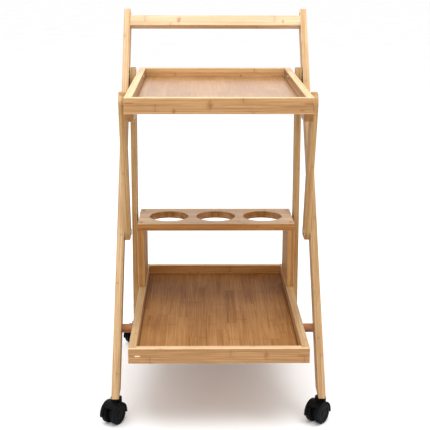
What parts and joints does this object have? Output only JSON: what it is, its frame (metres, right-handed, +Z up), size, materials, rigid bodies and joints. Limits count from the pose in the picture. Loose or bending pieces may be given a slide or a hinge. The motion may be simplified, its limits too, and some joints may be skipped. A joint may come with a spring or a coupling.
{
  "type": "rolling utility cart",
  "caption": "Bamboo serving cart with a shallow tray above and below, a bottle rack, a raised push handle, leaning side frames and swivel casters.",
  "frame": {"origin": "on the floor, under the middle of the trays", "axes": "+Z up, +X to the right seen from the front, +Y from the front end to the handle end"},
  "size_m": [0.447, 0.596, 0.761],
  "materials": {
    "bamboo_solid": "clear satin lacquer on laminated bamboo strips",
    "bamboo_panel": "clear lacquer on thin bamboo panel",
    "beech_dowel": "clear lacquer on a reddish brown wooden dowel",
    "black_plastic_wheel": "moulded black nylon",
    "black_plastic_hood": "moulded black plastic",
    "zinc_steel": "zinc plated",
    "white_nylon": "moulded nylon"
  },
  "bodies": {
    "front_frame": {"apex_bolts": "zinc_steel", "apex_washers": "white_nylon", "cleat_screws": "zinc_steel", "front_caster_stems": "zinc_steel", "handle_rail": "bamboo_solid", "handle_screws": "zinc_steel", "long_leg_left": "bamboo_solid", "long_leg_right": "bamboo_solid", "pivot_dowel_left": "beech_dowel", "pivot_dowel_right": "beech_dowel", "strut_bolts": "zinc_steel", "strut_left": "bamboo_solid", "strut_nuts": "zinc_steel", "strut_right": "bamboo_solid", "strut_screws": "zinc_steel", "strut_washers": "white_nylon", "top_tray_back": "bamboo_solid", "top_tray_cleat_left": "bamboo_solid", "top_tray_cleat_right": "bamboo_solid", "top_tray_floor": "bamboo_panel", "top_tray_front": "bamboo_solid", "top_tray_side_left": "bamboo_solid", "top_tray_side_right": "bamboo_solid"},
    "rear_legs": {"rear_leg_left": "bamboo_solid", "rear_leg_right": "bamboo_solid", "rest_pins": "beech_dowel", "rear_caster_stems": "zinc_steel"},
    "lower_tray": {"lower_tray_back": "bamboo_solid", "lower_tray_floor": "bamboo_panel", "lower_tray_front": "bamboo_solid", "lower_tray_side_left": "bamboo_solid", "lower_tray_side_right": "bamboo_solid", "rack_panel": "bamboo_solid", "rack_screws": "zinc_steel", "rack_support_left": "bamboo_solid", "rack_support_right": "bamboo_solid", "support_screws": "zinc_steel"},
    "front_left_swivel": {"front_left_caster_hood": "black_plastic_hood", "front_left_caster_axle": "zinc_steel"},
    "front_left_wheel_a": {"front_left_caster_wheel_a": "black_plastic_wheel"},
    "front_left_wheel_b": {"front_left_caster_wheel_b": "black_plastic_wheel"},
    "front_right_swivel": {"front_right_caster_hood": "black_plastic_hood", "front_right_caster_axle": "zinc_steel"},
    "front_right_wheel_a": {"front_right_caster_wheel_a": "black_plastic_wheel"},
    "front_right_wheel_b": {"front_right_caster_wheel_b": "black_plastic_wheel"},
    "rear_left_swivel": {"rear_left_caster_hood": "black_plastic_hood", "rear_left_caster_axle": "zinc_steel"},
    "rear_left_wheel_a": {"rear_left_caster_wheel_a": "black_plastic_wheel"},
    "rear_left_wheel_b": {"rear_left_caster_wheel_b": "black_plastic_wheel"},
    "rear_right_swivel": {"rear_right_caster_hood": "black_plastic_hood", "rear_right_caster_axle": "zinc_steel"},
    "rear_right_wheel_a": {"rear_right_caster_wheel_a": "black_plastic_wheel"},
    "rear_right_wheel_b": {"rear_right_caster_wheel_b": "black_plastic_wheel"}
  },
  "joints": [
    {"name": "rear_leg_fold", "type": "hinge", "parent": "front_frame", "child": "rear_legs", "pos_m": [0, 0.176, 0.6165], "axis": [1, 0, 0], "range_deg": [-27, 0]},
    {"name": "lower_tray_fold", "type": "hinge", "parent": "front_frame", "child": "lower_tray", "pos_m": [0, -0.1685, 0.158], "axis": [1, 0, 0], "range_deg": [0, 50]},
    {"name": "front_left_swivel_turn", "type": "hinge", "parent": "front_frame", "child": "front_left_swivel", "pos_m": [-0.19775, -0.25474, 0.045], "axis": [0, 0, 1], "continuous": true},
    {"name": "front_left_wheel_a_roll", "type": "hinge", "parent": "front_left_swivel", "child": "front_left_wheel_a", "pos_m": [-0.20264, -0.26288, 0.0205], "axis": [0.8572, -0.515, 0], "continuous": true},
    {"name": "front_left_wheel_b_roll", "type": "hinge", "parent": "front_left_swivel", "child": "front_left_wheel_b", "pos_m": [-0.20264, -0.26288, 0.0205], "axis": [0.8572, -0.515, 0], "continuous": true},
    {"name": "front_right_swivel_turn", "type": "hinge", "parent": "front_frame", "child": "front_right_swivel", "pos_m": [0.19775, -0.25474, 0.045], "axis": [0, 0, 1], "continuous": true},
    {"name": "front_right_wheel_a_roll", "type": "hinge", "parent": "front_right_swivel", "child": "front_right_wheel_a", "pos_m": [0.19177, -0.26212, 0.0205], "axis": [0.7771, -0.6293, 0], "continuous": true},
    {"name": "front_right_wheel_b_roll", "type": "hinge", "parent": "front_right_swivel", "child": "front_right_wheel_b", "pos_m": [0.19177, -0.26212, 0.0205], "axis": [0.7771, -0.6293, 0], "continuous": true},
    {"name": "rear_left_swivel_turn", "type": "hinge", "parent": "rear_legs", "child": "rear_left_swivel", "pos_m": [-0.18275, 0.1618, 0.045], "axis": [0, 0, 1], "continuous": true},
    {"name": "rear_left_wheel_a_roll", "type": "hinge", "parent": "rear_left_swivel", "child": "rear_left_wheel_a", "pos_m": [-0.18764, 0.15366, 0.0205], "axis": [0.8572, -0.515, 0], "continuous": true},
    {"name": "rear_left_wheel_b_roll", "type": "hinge", "parent": "rear_left_swivel", "child": "rear_left_wheel_b", "pos_m": [-0.18764, 0.15366, 0.0205], "axis": [0.8572, -0.515, 0], "continuous": true},
    {"name": "rear_right_swivel_turn", "type": "hinge", "parent": "rear_legs", "child": "rear_right_swivel", "pos_m": [0.18275, 0.1618, 0.045], "axis": [0, 0, 1], "continuous": true},
    {"name": "rear_right_wheel_a_roll", "type": "hinge", "parent": "rear_right_swivel", "child": "rear_right_wheel_a", "pos_m": [0.17677, 0.15442, 0.0205], "axis": [0.7771, -0.6293, 0], "continuous": true},
    {"name": "rear_right_wheel_b_roll", "type": "hinge", "parent": "rear_right_swivel", "child": "rear_right_wheel_b", "pos_m": [0.17677, 0.15442, 0.0205], "axis": [0.7771, -0.6293, 0], "continuous": true}
  ],
  "couplings": [
    {"joint": "lower_tray_fold", "follows": "rear_leg_fold", "ratio": -1.8519}
  ]
}
